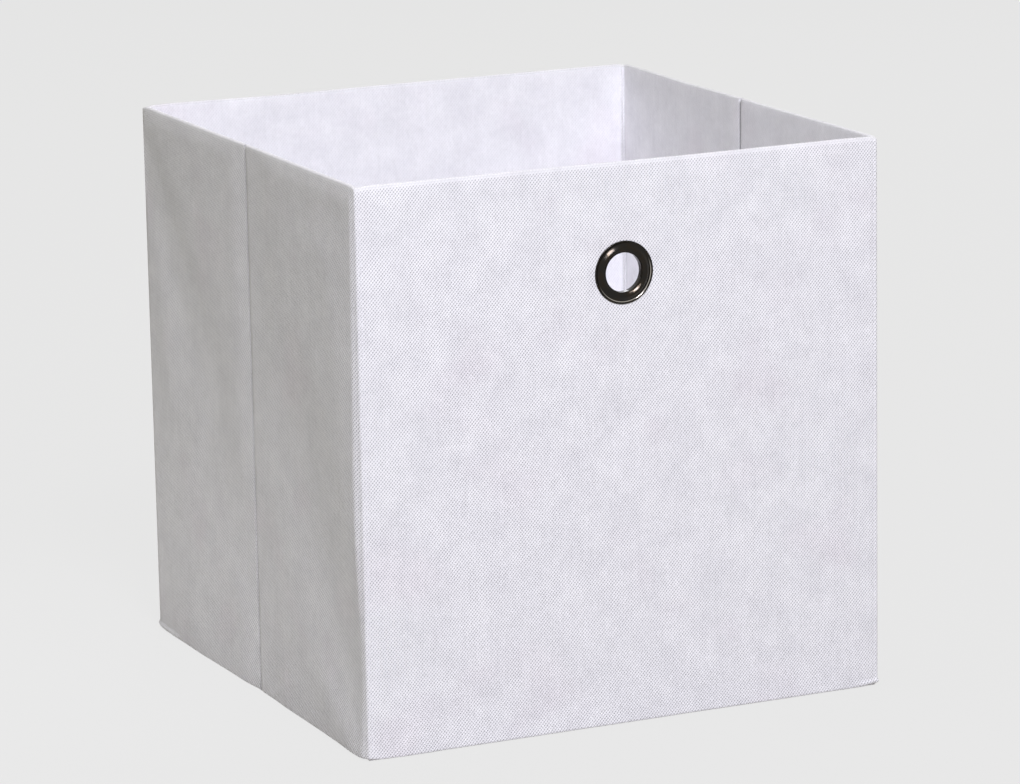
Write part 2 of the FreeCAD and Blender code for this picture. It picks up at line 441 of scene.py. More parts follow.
def meshPiece(name, vertices, faces, clothMap=None, sharp=50):
    mesh = bpy.data.meshes.new(name)
    mesh.from_pydata([tuple(v) for v in vertices], [], [tuple(f) for f in faces])
    if clothMap is not None:
        layer = mesh.uv_layers.new(name="clothMap")
        corners = np.array([i for f in faces for i in f])
        layer.uv.foreach_set("vector", np.asarray(clothMap, np.float32)[corners].ravel())
    mesh.shade_smooth()
    mesh.set_sharp_from_angle(angle=math.radians(sharp))
    mesh.validate()
    return newObject(name, mesh)


# Faces between rows of points. Each row may run round, and the last row may join the first.
def gridFaces(rows, columns, first=0, ring=False, closed=False):
    faces = []
    for r in range(rows if closed else rows - 1):
        low, high = first + r * columns, first + (r + 1) % rows * columns
        for c in range(columns if ring else columns - 1):
            d = (c + 1) % columns
            faces.append((low + c, low + d, high + d, high + c))
    return faces


# Steps over the top of a wall, as (share of the way to the inner face, height)
def topFold():
    wall, height, radius = box["wall"], box["height"], box["topRadius"]
    rise = np.radians((0, 15, 30, 45, 60, 75, 90))
    up = [(radius * (1 - math.cos(a)) / wall, height - radius + radius * math.sin(a)) for a in rise]
    down = [(1 - share, z) for share, z in reversed(up)]
    return up + down


# A covered wall's section: up the outside, over the top and down the inside
def wallRows():
    fold = topFold()
    near = [box["foot"], 4.9, 6.0]
    legs = near + list(spread(9.0, fold[0][1] - 2.0, box["rowStep"]))
    return [(0.0, z) for z in legs] + fold + [(1.0, z) for z in reversed(legs)]


# A turned-up hem's section under a wall, flush with the cover above it
hemSection = (
    (0.0, box["foot"]), (0.0, 3.6), (0.0, 2.8), (0.0, 2.0), (0.0, 1.4), (0.015, 0.95), (0.06, 0.55),
    (0.14, 0.22), (0.26, 0.03), (0.42, 0.0), (0.60, 0.03), (0.74, 0.22), (0.82, 0.6), (0.85, 1.2),
    (0.85, 2.2), (0.85, 3.2), (0.85, 4.1),
)


# Points of a sleeve row by row, with their places on the flat cloth
def sleevePoints(stations, rows, bulge):
    points = np.zeros((len(rows), len(stations), 3))
    cloth = np.zeros((len(rows), len(stations), 2))
    share = np.array([r[0] for r in rows])
    z = np.array([r[1] for r in rows])
    over = np.where(share > 0.5, 2 * box["height"] - z, z)
    for c, s in enumerate(stations):
        outer, inner = np.array(s["outer"]), np.array(s["inner"])
        u = np.full(len(rows), s["u"])
        rise = outerForm(s["side"], u, z)
        if bulge is not None:
            rise = rise + bulge(s["side"], u, z)
        outShift = rise[:, None] * np.array(s["outNormal"])
        inShift = innerForm(s["side"], u, z)[:, None] * np.array(s["inNormal"])
        points[:, c, 0:2] = (outer + outShift) * (1 - share)[:, None] + (inner + inShift) * share[:, None]
        points[:, c, 2] = z + edgeShift(s["side"], u, z)
        cloth[:, c, 0] = s["cloth"]
        cloth[:, c, 1] = over
    return points * mm, cloth * mm


def sleeve(name, stations, rows, bulge=None):
    count, columns = len(rows), len(stations)
    found = sleevePoints(stations, rows, bulge)
    closed = [np.concatenate([part, part[-1:], part[:1]]) for part in found]
    points, cloth = [part.reshape(-1, part.shape[-1]) for part in closed]
    faces = gridFaces(count, columns) + gridFaces(2, columns, first=count * columns)
    return meshPiece(name, points, faces, cloth)


def outwardFaces(piece):
    work = bmesh.new()
    work.from_mesh(piece.data)
    bmesh.ops.recalc_face_normals(work, faces=work.faces)
    work.to_mesh(piece.data)
    work.free()


# A point on the outer face of a station, lifted off the cloth
def pointOnFace(s, z, lift):
    u = np.array([s["u"]])
    at = np.array([z])
    rise = float(outerForm(s["side"], u, at)[0]) + lift
    x, y = s["outer"]
    nx, ny = s["outNormal"]
    up = z + float(edgeShift(s["side"], u, at)[0])
    return Vector(((x + nx * rise) * mm, (y + ny * rise) * mm, up * mm))


def newMaterial(name):
    material = bpy.data.materials.new(name)
    material.use_nodes = True
    tree = material.node_tree
    tree.nodes.clear()
    shader = add(tree, "BsdfPrincipled")
    add(tree, "OutputMaterial", Surface=shader.outputs["BSDF"])
    return material, tree, shader


# Gives sockets, by name or as i and a number, a value or another node's output
def feed(tree, node, inputs):
    for key, value in inputs.items():
        socket = node.inputs[int(key[1:])] if key[0] == "i" and key[1:].isdigit() else node.inputs[key]
        if isinstance(value, bpy.types.NodeSocket):
            tree.links.new(value, socket)
        else:
            socket.default_value = value


def add(tree, kind, settings=None, **inputs):
    made = tree.nodes.new("ShaderNode" + kind)
    for key, value in (settings or {}).items():
        setattr(made, key, value)
    feed(tree, made, inputs)
    return made


def maths(tree, operation, a, b=0.0):
    return add(tree, "Math", {"operation": operation}, i0=a, i1=b).outputs[0]


def plus(tree, a, b):
    return maths(tree, "ADD", a, b)


def minus(tree, a, b):
    return maths(tree, "SUBTRACT", a, b)


def times(tree, a, b):
    return maths(tree, "MULTIPLY", a, b)


def apart(tree, a, b):
    return maths(tree, "ABSOLUTE", minus(tree, a, b))


def ranged(tree, value, low, high, toLow, toHigh, kind="SMOOTHSTEP"):
    inputs = {"Value": value, "From Min": low, "From Max": high, "To Min": toLow, "To Max": toHigh}
    return add(tree, "MapRange", {"interpolation_type": kind}, **inputs).outputs["Result"]


def noise(tree, where, scale, detail, roughness, stretch=None):
    if stretch is not None:
        where = add(tree, "Mapping", Vector=where, Scale=stretch).outputs["Vector"]
    inputs = {"Vector": where, "Scale": scale, "Detail": detail, "Roughness": roughness}
    return add(tree, "TexNoise", **inputs).outputs["Fac"]


def mixColour(tree, share, a, b, kind="MIX"):
    settings = {"data_type": "RGBA", "blend_type": kind}
    return add(tree, "Mix", settings, i0=share, i6=a, i7=b).outputs[2]


def bump(tree, height):
    return add(tree, "Bump", Strength=1.0, Distance=1.0, Height=height).outputs["Normal"]


def split(tree, where):
    return add(tree, "SeparateXYZ", Vector=where).outputs[:3]


# A noise is given as its scale, detail, roughness and, where it has one, its stretch
cloth = {
    "puff": (0.95, 0.945, 0.975, 1),  # between the pressed dots
    "thin": (0.86, 0.855, 0.89, 1),
    "dot": (0.36, 0.36, 0.40, 1),
    "blush": (0.97, 0.93, 0.95, 1),
    "dotAcross": 0.00193,  # from dot to dot
    "dotUp": 0.00219,
    "slant": 0.3,  # how much stronger the rows of dots look along one diagonal
    "dotShare": 0.85,
    "dotDepth": 0.00018,
    "fibreDepth": 0.0001,
    "streakDepth": 0.00018,  # faint upright ribs
    "pressNoise": (900, 2.0, 0.6),
    "pressShare": 0.7,
    "dotNoise": (120, 3.0, 0.6),
    "cloudNoise": (46, 4.0, 0.62),
    "fibreNoise": (620, 5.0, 0.72, (1.0, 0.45, 1.0)),
    "streakNoise": (330, 3.0, 0.6, (1.0, 0.12, 1.0)),
    "blushNoise": (17, 2.0, 0.5),
    "plainFrom": (0.3185, 0.3225),  # the way up the cloth, where its plain side inside the box begins
    "insideShare": 0.15,  # how much of the dots shows on the plain side
    "paintedTopShade": 0.80,  # painted shade along the top of each wall, toning down the light its rounded top catches
    "insideFrom": (0.3215, 0.3235),
    "creaseShade": 0.78,  # painted shade along the line where a side wall folds, just in front of it
    "creaseShift": 0.6,
    "innerShade": 0.4,  # the same painted shade along the line inside the box
    "innerShift": -0.2,
    "creaseFade": (0.0003, 0.0013),
    "cornerShade": 0.84,  # painted shade deep inside the corners
    "cornerFrom": (0.34, 0.38),
    "cornerFade": (0.0009, 0.003),
    "roughness": (0.85, 0.6),  # between the dots, and on them
    "sheen": 0.12,
    "sheenRoughness": 0.6,
    "specular": 0.3,
}


# Spun cloth: cloudy fibres held by a lattice of small pressed dots
def nonwovenMaterial():
    material, tree, shader = newMaterial("whiteNonwoven")
    where = add(tree, "UVMap", {"uv_map": "clothMap"}).outputs["UV"]
    u, v, _ = split(tree, where)
    across = times(tree, u, math.tau / cloth["dotAcross"])
    up = times(tree, v, math.tau / cloth["dotUp"])
    rising = times(tree, maths(tree, "COSINE", minus(tree, across, up)), 1 + cloth["slant"])
    falling = times(tree, maths(tree, "COSINE", plus(tree, across, up)), 1 - cloth["slant"])
    press = minus(tree, noise(tree, where, *cloth["pressNoise"]), 0.5)
    lattice = plus(tree, plus(tree, rising, falling), times(tree, press, cloth["pressShare"]))
    dot = ranged(tree, lattice, 0.0, 1.7, 0.0, 1.0)
    inside = ranged(tree, v, *cloth["plainFrom"], 1.0, cloth["insideShare"])
    uneven = ranged(tree, noise(tree, where, *cloth["dotNoise"]), 0.3, 0.7, 0.75, 1.0, "LINEAR")
    dot = times(tree, times(tree, dot, uneven), inside)
    fromFold = apart(tree, v, box["height"] * mm)
    dot = times(tree, dot, ranged(tree, fromFold, 0.001, 0.003, 0.25, 1.0))
    cloud = ranged(tree, noise(tree, where, *cloth["cloudNoise"]), 0.34, 0.68, 0.0, 1.0, "LINEAR")
    fibre = noise(tree, where, *cloth["fibreNoise"])
    streak = noise(tree, where, *cloth["streakNoise"])
    blush = ranged(tree, noise(tree, where, *cloth["blushNoise"]), 0.5, 0.75, 0.0, 0.6)
    colour = mixColour(tree, cloud, cloth["thin"], cloth["puff"])
    colour = mixColour(tree, blush, colour, cloth["blush"], "MULTIPLY")
    colour = mixColour(tree, times(tree, dot, cloth["dotShare"]), colour, cloth["dot"])
    fleck = ranged(tree, fibre, 0.35, 0.65, 0.96, 1.03, "LINEAR")
    fleck = times(tree, fleck, ranged(tree, streak, 0.3, 0.7, 0.975, 1.02, "LINEAR"))
    # Painted shade along the top of each wall
    fleck = times(tree, fleck, ranged(tree, fromFold, 0.0008, 0.0014, cloth["paintedTopShade"], 1.0))
    # Painted shade: a dark line along each side wall's crease, on the outside and on the inside
    within = ranged(tree, v, *cloth["insideFrom"], 0.0, 1.0)
    for face, here in (("crease", minus(tree, 1.0, within)), ("inner", within)):
        for side in ("left", "right"):
            away = apart(tree, u, clothAt(side, box["half"] + cloth[face + "Shift"]) * mm)
            paintedShade = ranged(tree, away, *cloth["creaseFade"], 1.0 - cloth[face + "Shade"], 0.0)
            fleck = times(tree, fleck, minus(tree, 1.0, times(tree, paintedShade, here)))
    # Painted shade on the inner faces of the four corners, deepening from a little below the top
    deep = ranged(tree, v, *cloth["cornerFrom"], 0.0, 1.0 - cloth["cornerShade"])
    for corner in (-5, -3, -1, 1):
        away = apart(tree, u, corner * (box["half"] - cornerSaving / 2) * mm)
        paintedShade = times(tree, ranged(tree, away, *cloth["cornerFade"], 1.0, 0.0), deep)
        fleck = times(tree, fleck, minus(tree, 1.0, paintedShade))
    # The fibre flecks and streaks together with the painted shade, as one grey that darkens the cloth's
    # colour
    grey = add(tree, "CombineColor", i0=fleck, i1=fleck, i2=fleck).outputs[0]
    height = plus(tree, times(tree, dot, -cloth["dotDepth"]), times(tree, streak, cloth["streakDepth"]))
    height = plus(tree, height, times(tree, fibre, cloth["fibreDepth"]))
    feed(tree, shader, {
        "Base Color": mixColour(tree, 1.0, colour, grey, "MULTIPLY"),
        "Roughness": ranged(tree, dot, 0.0, 1.0, *cloth["roughness"], "LINEAR"),
        "Normal": bump(tree, height),
        "Sheen Weight": cloth["sheen"],
        "Sheen Roughness": cloth["sheenRoughness"],
        "Specular IOR Level": cloth["specular"],
    })
    return material


board = {
    "colour": (0.36, 0.33, 0.29, 1),
    "pale": (0.46, 0.43, 0.38, 1),
    "fleck": (0.20, 0.18, 0.15, 1),
    "pulpNoise": (240, 5.0, 0.7),
    "fleckNoise": (900, 2.0, 0.5, (1.0, 1.0, 3.0)),
    "grain": 0.00005,
    "roughness": 0.9,
}


def greyboardMaterial():
    material, tree, shader = newMaterial("greyBoard")
    where = add(tree, "TexCoord").outputs["Object"]
    pulp = noise(tree, where, *board["pulpNoise"])
    fleck = noise(tree, where, *board["fleckNoise"])
    colour = mixColour(tree, ranged(tree, pulp, 0.3, 0.7, 0.0, 1.0), board["colour"], board["pale"])
    colour = mixColour(tree, ranged(tree, fleck, 0.62, 0.72, 0.0, 0.5), colour, board["fleck"])
    normal = bump(tree, times(tree, pulp, board["grain"]))
    feed(tree, shader, {"Base Color": colour, "Roughness": board["roughness"], "Normal": normal})
    return material


metal = {
    "colour": (0.026, 0.0245, 0.0225, 1),
    "brown": (0.033, 0.026, 0.019, 1),
    "paintedGlint": (0.42, 0.39, 0.35, 1),  # painted highlight: a pale line in the ring's groove, low and to the right, standing for its glint
    "glintRadius": 0.01645,
    "glintWidth": (0.0001, 0.0003),
    "glintToward": (0.383, -0.924),
    "glintSpread": (-0.1, 0.4),
    "glintFront": (-0.16, -0.159),
    "hazeNoise": (160, 4.0, 0.6),
    "grainNoise": (1400, 2.0, 0.5),
    "roughness": (0.12, 0.17),
    "polish": 0.000003,
}


def eyeletMaterial():
    material, tree, shader = newMaterial("blackNickel")
    where = add(tree, "TexCoord").outputs["Object"]
    haze = noise(tree, where, *metal["hazeNoise"])
    colour = mixColour(tree, ranged(tree, haze, 0.42, 0.66, 0.0, 1.0), metal["colour"], metal["brown"])
    x, y, z = split(tree, where)
    z = minus(tree, z, eyeletAt["z"] * mm)
    away = maths(tree, "SQRT", plus(tree, times(tree, x, x), times(tree, z, z)))
    right, up = metal["glintToward"]
    toward = maths(tree, "DIVIDE", plus(tree, times(tree, x, right), times(tree, z, up)), away)
    # Painted highlight: a thin pale arc in the groove on the ring's front, low and to the right
    glint = ranged(tree, apart(tree, away, metal["glintRadius"]), *metal["glintWidth"], 1.0, 0.0)
    glint = times(tree, glint, ranged(tree, toward, *metal["glintSpread"], 0.0, 1.0))
    glint = times(tree, glint, ranged(tree, y, *metal["glintFront"], 1.0, 0.0))
    feed(tree, shader, {
        "Base Color": mixColour(tree, glint, colour, metal["paintedGlint"]),
        "Roughness": ranged(tree, haze, 0.3, 0.8, *metal["roughness"], "LINEAR"),
        "Normal": bump(tree, times(tree, noise(tree, where, *metal["grainNoise"]), metal["polish"])),
        "Metallic": 1.0,
    })
    return material


thread = {
    "colour": (0.86, 0.86, 0.89, 1),
    "shade": (0.66, 0.66, 0.70, 1),
    "twist": 0.0011,
    "radius": 0.18,
    "sides": 6,
    # share of the stitch's length, and how thick it is there
    "section": ((0.0, 0.15), (0.06, 0.75), (0.2, 1.0), (0.5, 1.05), (0.8, 1.0), (0.94, 0.75), (1.0, 0.15)),
    "sink": 0.22,  # how deep its ends go into the cloth
    "pitch": 3.3,
    "length": 2.5,
    "lift": 0.02,
    "sway": 0.05,
    "lowest": 6,
    "belowTop": 3,
    "roughness": 0.7,
}


def threadMaterial():
    material, tree, shader = newMaterial("sewingThread")
    where = add(tree, "TexCoord").outputs["Object"]
    x, y, z = split(tree, where)
    total = plus(tree, plus(tree, x, y), z)
    ply = maths(tree, "SINE", times(tree, total, math.tau / thread["twist"]))
    colour = mixColour(tree, ranged(tree, ply, -1.0, 1.0, 0.0, 1.0), thread["shade"], thread["colour"])
    feed(tree, shader, {"Base Color": colour, "Roughness": thread["roughness"]})
    return material


nonwoven = nonwovenMaterial()
greyboard = greyboardMaterial()
blackNickel = eyeletMaterial()
sewing = threadMaterial()
print("materials made")


def dress(piece, material):
    piece.data.materials.clear()
    piece.data.materials.append(material)
    return piece


camera = {
    "azimuth": math.radians(-24.78),
    "height": math.radians(12.56),
    "roll": math.radians(-1.05),
    "right": 0.0003,
    "up": 0.1555,
    "distance": 2.835,
    "lens": 168.95,
    "sensor": 36,
    "clip": (0.05, 60),
}


def makeCamera():
    a, e, roll = camera["azimuth"], camera["height"], camera["roll"]
    back = Vector((math.sin(a) * math.cos(e), -math.cos(a) * math.cos(e), math.sin(e)))
    level = Vector((0, 0, 1)).cross(back).normalized()
    upright = back.cross(level)
    right = level * math.cos(roll) + upright * math.sin(roll)
    up = upright * math.cos(roll) - level * math.sin(roll)
    data = bpy.data.cameras.new("viewCamera")
    data.lens = camera["lens"]
    data.sensor_width = camera["sensor"]
    data.clip_start, data.clip_end = camera["clip"]
    made = newObject("viewCamera", data)
    place = right * camera["right"] + up * camera["up"] + back * camera["distance"]
    stand(made, right, up, back, place)
    bpy.context.scene.camera = made


studio = {
    "backdrop": (0.791, 0.791, 0.791, 1),
    "floorShown": (0.813, 0.813, 0.813, 1),  # as the camera sees it
    "floorColour": (0.58, 0.57, 0.55, 1),
    "floorNear": (0.83, 0.82, 0.80, 1),  # beside the left wall, which it throws light on
    "nearPlace": (-0.42, 0.14, 0.0),
    "nearFade": (0.15, 0.5),
    "shadowShare": 0.05,
    "floorSize": 9.0,
    "floorSides": 96,
    "floorDrop": 0.0004,
    "worldColour": (1.0, 0.97, 0.54, 1),
    "worldStrength": 0.131,
    "aim": (0.0, -0.05, 0.17),
    "lamps": [
        # name, place, the direction of its long side, long side, short side, watts, colour
        ("keyLamp", (-0.50, -2.1, 2.2), (0.93, 0.17, 0.72), 0.9, 0.42, 57.0, (0.893, 0.891, 1.0)),
        ("stripLamp", (-0.44, -2.12, 2.26), (0.93, 0.17, 0.72), 2.3, 0.16, 26.5, (0.893, 0.891, 1.0)),
        ("topLamp", (0.0, 0.0, 2.4), (1, 0, 0), 1.1, 1.1, 16.5, (1.0, 0.985, 0.94)),
        ("backLamp", (1.3, 2.0, 1.5), (0.84, -0.55, 0), 1.3, 1.1, 15.0, (0.93, 0.93, 1.0)),
    ],
}


# One for the rays by which the camera, metal or glass sees what is behind the object
def pastObject(tree):
    path = add(tree, "LightPath")
    seen = maths(tree, "MAXIMUM", path.outputs["Is Camera Ray"], path.outputs["Is Glossy Ray"])
    return maths(tree, "MAXIMUM", seen, path.outputs["Is Transmission Ray"])


def makeWorld():
    world = bpy.data.worlds.new("studioWorld")
    bpy.context.scene.world = world
    world.use_nodes = True
    tree = world.node_tree
    tree.nodes.clear()
    lit = add(tree, "Background", Color=studio["worldColour"], Strength=studio["worldStrength"])
    shown = add(tree, "Background", Color=studio["backdrop"], Strength=1.0)
    past = pastObject(tree)
    mixer = add(tree, "MixShader", i0=past, i1=lit.outputs[0], i2=shown.outputs[0])
    add(tree, "OutputWorld", Surface=mixer.outputs[0])


def makeFloor():
    size, sides = studio["floorSize"], studio["floorSides"]
    edge = np.linspace(0, math.tau, sides + 1)[:-1]
    ring = np.stack([size * np.cos(edge), size * np.sin(edge), np.full(sides, -studio["floorDrop"])], 1)
    mesh = bpy.data.meshes.new("studioFloor")
    mesh.from_pydata([tuple(p) for p in ring], [], [tuple(range(sides))])
    floor = newObject("studioFloor", mesh)
    material, tree, shader = newMaterial("paleFloor")
    where = add(tree, "TexCoord").outputs["Object"]
    away = add(tree, "VectorMath", {"operation": "DISTANCE"}, i0=where, i1=studio["nearPlace"])
    near = ranged(tree, away.outputs["Value"], *studio["nearFade"], 1.0, 0.0)
    colour = mixColour(tree, near, studio["floorColour"], studio["floorNear"])
    feed(tree, shader, {"Base Color": colour, "Roughness": 1.0, "Specular IOR Level": 0.0})
    shown = add(tree, "Emission", Color=studio["floorShown"], Strength=1.0)
    share = times(tree, pastObject(tree), 1 - studio["shadowShare"])
    mixer = add(tree, "MixShader", i0=share, i1=shader.outputs[0], i2=shown.outputs[0])
    feed(tree, tree.get_output_node("ALL"), {"Surface": mixer.outputs[0]})
    floor.data.materials.append(material)


def makeLamps():
    for name, place, along, long, short, watts, colour in studio["lamps"]:
        data = bpy.data.lights.new(name, "AREA")
        data.shape = "RECTANGLE"
        data.size, data.size_y = long, short
        data.energy = watts
        data.color = colour
        back = (Vector(place) - Vector(studio["aim"])).normalized()
        right = Vector(along) - back * back.dot(Vector(along))
        right.normalize()
        stand(newObject(name, data), right, back.cross(right), back, place)


bpy.context.scene.view_settings.view_transform = "Standard"
makeCamera()
makeWorld()
makeFloor()
makeLamps()
print("camera and light set")


def dressCloth(piece):
    outwardFaces(piece)
    dress(piece, nonwoven)


def finishCover(piece, nodes):
    dressCloth(piece)
    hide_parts(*nodes)


hole = {"radius": 13.5, "clean": 14.2, "reach": 17.5}


# Opens the front cover behind the eyelet's flange, and draws the cut's points to a clean circle
def cutHole(piece):
    radius, clean, reach = hole["radius"] * mm, hole["clean"] * mm, hole["reach"] * mm
    centreX, centreZ = eyeletAt["x"] * mm, eyeletAt["z"] * mm

    def distance(point):
        return math.hypot(point.x - centreX, point.z - centreZ)

    work = bmesh.new()
    work.from_mesh(piece.data)
    gone = [face for face in work.faces if distance(face.calc_center_median()) < radius]
    bmesh.ops.delete(work, geom=gone, context="FACES")
    for vert in work.verts:
        away = distance(vert.co)
        if away < reach and any(e.is_boundary for e in vert.link_edges):
            vert.co.x = centreX + (vert.co.x - centreX) * clean / away
            vert.co.z = centreZ + (vert.co.z - centreZ) * clean / away
    work.to_mesh(piece.data)
    work.free()


legEnd = box["half"] - box["legLength"]
rows = wallRows()
flatXs = spread(-legEnd, legEnd, box["rowStep"])

for flat in ("front", "back"):
    cover = sleeve(flat + "Cover", [flatStation(flat, x) for x in flatXs], rows)
    if flat == "front":
        cutHole(cover)
    finishCover(cover, [flat + "_sleeve"])
    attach(cover, flat)

halfSteps = spread(box["legLength"] - cornerToSeam, halfSide - box["creaseReach"], box["rowStep"])
sideHalves = [(side, end) for side in ("left", "right") for end in ("rear", "front")]
for side, end in sideHalves:
    body = side + "_" + end
    cover = sleeve(side + end.capitalize() + "Cover", [halfStation(side, end, s) for s in halfSteps], rows)
    finishCover(cover, [body + "_sleeve"])
    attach(cover, body)
print("wall covers made")


# A piece across a corner is baked where it stands, but the front right corner is open, and its cloth stays
# with the front
def followCorner(piece, side, end):
    if (side, end) == ("right", "front"):
        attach(piece, "front")
        return
    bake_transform(piece)


def followCrease(piece):
    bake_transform(piece)


# Corners: cloth wrapped round, with the rolled seam standing inside
for side, end in sideHalves:
    flat = flatOf[end]
    piece = sleeve("corner" + flat.capitalize() + side.capitalize(), cornerStations(side, end), rows)
    finishCover(piece, ["corner_seam_" + flat + "_" + side])
    followCorner(piece, side, end)

# Creases: the cloth pressed together and sewn between the half boards
for side in ("left", "right"):
    piece = sleeve("crease" + side.capitalize(), creaseStations(side), rows)
    finishCover(piece, ["crease_seam_" + side])
    followCrease(piece)
print("corners and creases made")

hem = {
    "keep": 0.06,
    "level": 0.00085,
    "length": 0.0115,
    "roll": 0.9,  # how far the hem stands proud where it shows under the wall
    "rollHeight": 1.9,
    "rollSize": 1.3,
    "leftRoll": (40, 12),  # where it shows along the left wall, and at the end of the front
    "frontRoll": (304, 8),
}


def hemRoll(side, u, z):
    leftEnd, leftFade = hem["leftRoll"]
    frontStart, frontFade = hem["frontRoll"]
    shown = {"left": smooth((leftEnd - u) / leftFade), "front": smooth((u - frontStart) / frontFade)}
    where = shown.get(side, 0 * u)
    return hem["roll"] * where * np.exp(-(((z - hem["rollHeight"]) / hem["rollSize"]) ** 2))


# Half of a corner's stations: the wall part or the side part, without the rolled seam
def cornerHalf(side, end, part):
    full = cornerStations(side, end)
    chosen = full[: cornerMiddle + 1] if part == "flat" else full[cornerMiddle:]
    for s in chosen:
        s["inner"] = tuple(p - n * box["wall"] for p, n in zip(s["outer"], s["outNormal"]))
        if part == "side":
            s["cloth"] = clothAt(side, s["u"])
    return chosen


def makeHem(name, stations, body, node):
    piece = sleeve(name, stations, hemSection, hemRoll)
    dressCloth(piece)
    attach(piece, body)
    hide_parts(node)
    if body != "back":  # the back wall's own hem stays as it is when the box folds
        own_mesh(piece)


for end, flat in flatOf.items():
    middle = [flatStation(flat, x) for x in flatXs]
    stations = cornerHalf("left", end, "flat")[::-1] + middle[1:-1] + cornerHalf("right", end, "flat")
    makeHem("hem" + flat.capitalize(), stations, flat, "base_hem_" + flat)

for side, end in sideHalves:
    crease = creaseStations(side)
    half = len(crease) // 2
    nearCrease = crease[:half] if end == "rear" else crease[half + 1 :][::-1]
    straight = [halfStation(side, end, s) for s in halfSteps]
    stations = cornerHalf(side, end, "side") + straight[1:-1] + nearCrease
    body = side + "_" + end
    makeHem("hem" + side.capitalize() + end.capitalize(), stations, body, "base_hem_" + body)
print("hems made")

baseSheet = {
    "edge": 158.6,
    "inset": 0.81,  # how much narrower it is half way, where the side walls lean in
    "thickness": 0.6,
    "under": 0.02,
    "step": 6.0,
    "keep": 0.076,
    "wave": (21, 12, 40, 120, 0.06),
}


def makeBase():
    edge, thick = baseSheet["edge"], baseSheet["thickness"]
    ys = spread(-edge, edge, baseSheet["step"])
    across = np.linspace(-1, 1, len(ys))
    loose = gentleWaves(*baseSheet["wave"])
    sheets = []
    for level in (thick, 0.0):
        grid = np.zeros((len(ys), len(across), 3))
        for r, y in enumerate(ys):
            x = across * (edge - baseSheet["inset"] * (1 - abs(y) / box["half"]))
            sag = loose(x, np.full_like(x, y)) if level else baseSheet["under"]
            grid[r, :, 0], grid[r, :, 1], grid[r, :, 2] = x, y, level + sag
        sheets.append(grid)
    count, shift = len(ys), len(ys) ** 2
    points = np.concatenate([sheets[0].reshape(-1, 3), sheets[1].reshape(-1, 3)])
    faces = gridFaces(count, count)
    faces += [tuple(i + shift for i in reversed(f)) for f in gridFaces(count, count)]
    order = np.arange(shift).reshape(count, count)
    rim = [*order[0], *order[1:, -1], *order[-1, -2::-1], *order[-2:0:-1, 0]]
    for i, j in zip(rim, rim[1:] + rim[:1]):
        faces.append((j, i, i + shift, j + shift))
    piece = meshPiece("baseCloth", points * mm, faces, points[:, :2] * mm)
    dressCloth(piece)
    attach(piece, "back")
    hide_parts("base_cloth")
    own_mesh(piece)


makeBase()
print("bottom cloth made")

insert = {
    "halfX": 154.988,
    "halfY": 154.6,
    "corner": 3.0,
    "low": 1.1,
    "high": 4.1,
    "seam": 2.5,
    "roll": 1.3,
    "step": 5.0,
    "ringSteps": (140, 120, 100, 80, 62, 46, 34, 24, 16, 10, 6, 3, 1.2),
    "upperWave": (31, 14, 30, 90, 0.05),
    "lowerWave": (32, 14, 30, 90, 0.05),
    "pucker": (33, 10, 9, 22, 0.12),  # small folds beside the seam
    "edgeFade": 6,
    "seamAllowance": 4,
    "stitchInset": 6.0,
}


# Points round a rounded rectangle drawn in by inset
def roundedOutline(inset):
    radius = max(insert["corner"] - inset, 0.2)
    x, y = insert["halfX"] - inset - radius, insert["halfY"] - inset - radius
    found = []
    for signX, signY, first in ((1, 1, 0), (-1, 1, 90), (-1, -1, 180), (1, -1, 270)):
        for angle in np.radians(np.linspace(first, first + 90, 7)):
            found.append((signX * x + radius * math.cos(angle), signY * y + radius * math.sin(angle)))
    full = []
    count = round((insert["halfX"] + insert["halfY"]) / insert["step"])
    for p, q in zip(found, found[1:] + found[:1]):
        full.append(p)
        if math.dist(p, q) > insert["step"] * 2:
            full += [tuple(a + (b - a) * j / count for a, b in zip(p, q)) for j in range(1, count)]
    return np.array(full)


# One face of the insert's cover, from its middle out to the seam round the edge
def insertHalf(name, upper, node):
    loose = gentleWaves(*insert["upperWave" if upper else "lowerWave"])
    pucker = gentleWaves(*insert["pucker"])
    face, roll = insert["high" if upper else "low"], insert["roll"]
    insets = [roll + extra for extra in insert["ringSteps"]]
    profile = [(inset, 0.0) for inset in insets]
    for angle in np.radians((0, 18, 36, 54, 72, 90)):
        profile.append((roll * (1 - math.sin(angle)), roll * (1 - math.cos(angle))))
    profile.append((0.0, abs(face - insert["seam"])))
    rings = [roundedOutline(inset) for inset, drop in profile]
    count = len(rings[0])
    grid = np.zeros((len(rings), count, 3))
    for r, (ring, (inset, drop)) in enumerate(zip(rings, profile)):
        onFace = insets[r] if r < len(insets) else 0
        flatness = smooth((insets[0] - onFace) / insert["edgeFade"])
        edge = pucker(ring[:, 0], ring[:, 1]) if r >= len(insets) - 3 else 0.0
        rise = (loose(ring[:, 0], ring[:, 1]) * 0.5 - 0.05 + edge * 0.3) * flatness
        if r == len(rings) - 1:
            rise = rise * 0
        grid[r, :, 0], grid[r, :, 1] = ring[:, 0], ring[:, 1]
        grid[r, :, 2] = face - drop + rise if upper else face + drop - rise * 0.5
    faces = gridFaces(len(rings), count, ring=True)
    points = np.concatenate([grid.reshape(-1, 3), [[0, 0, grid[0, :, 2].mean()]]])
    faces += [(len(points) - 1, (c + 1) % count, c) for c in range(count)]
    piece = meshPiece(name, points * mm, faces, points[:, :2] * mm)
    dressCloth(piece)
    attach(piece, "insert")
    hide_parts(node)


insertHalf("insertTopCover", True, "insert_top_cloth")
insertHalf("insertBottomCover", False, "insert_bottom_cloth")
print("insert cover made")

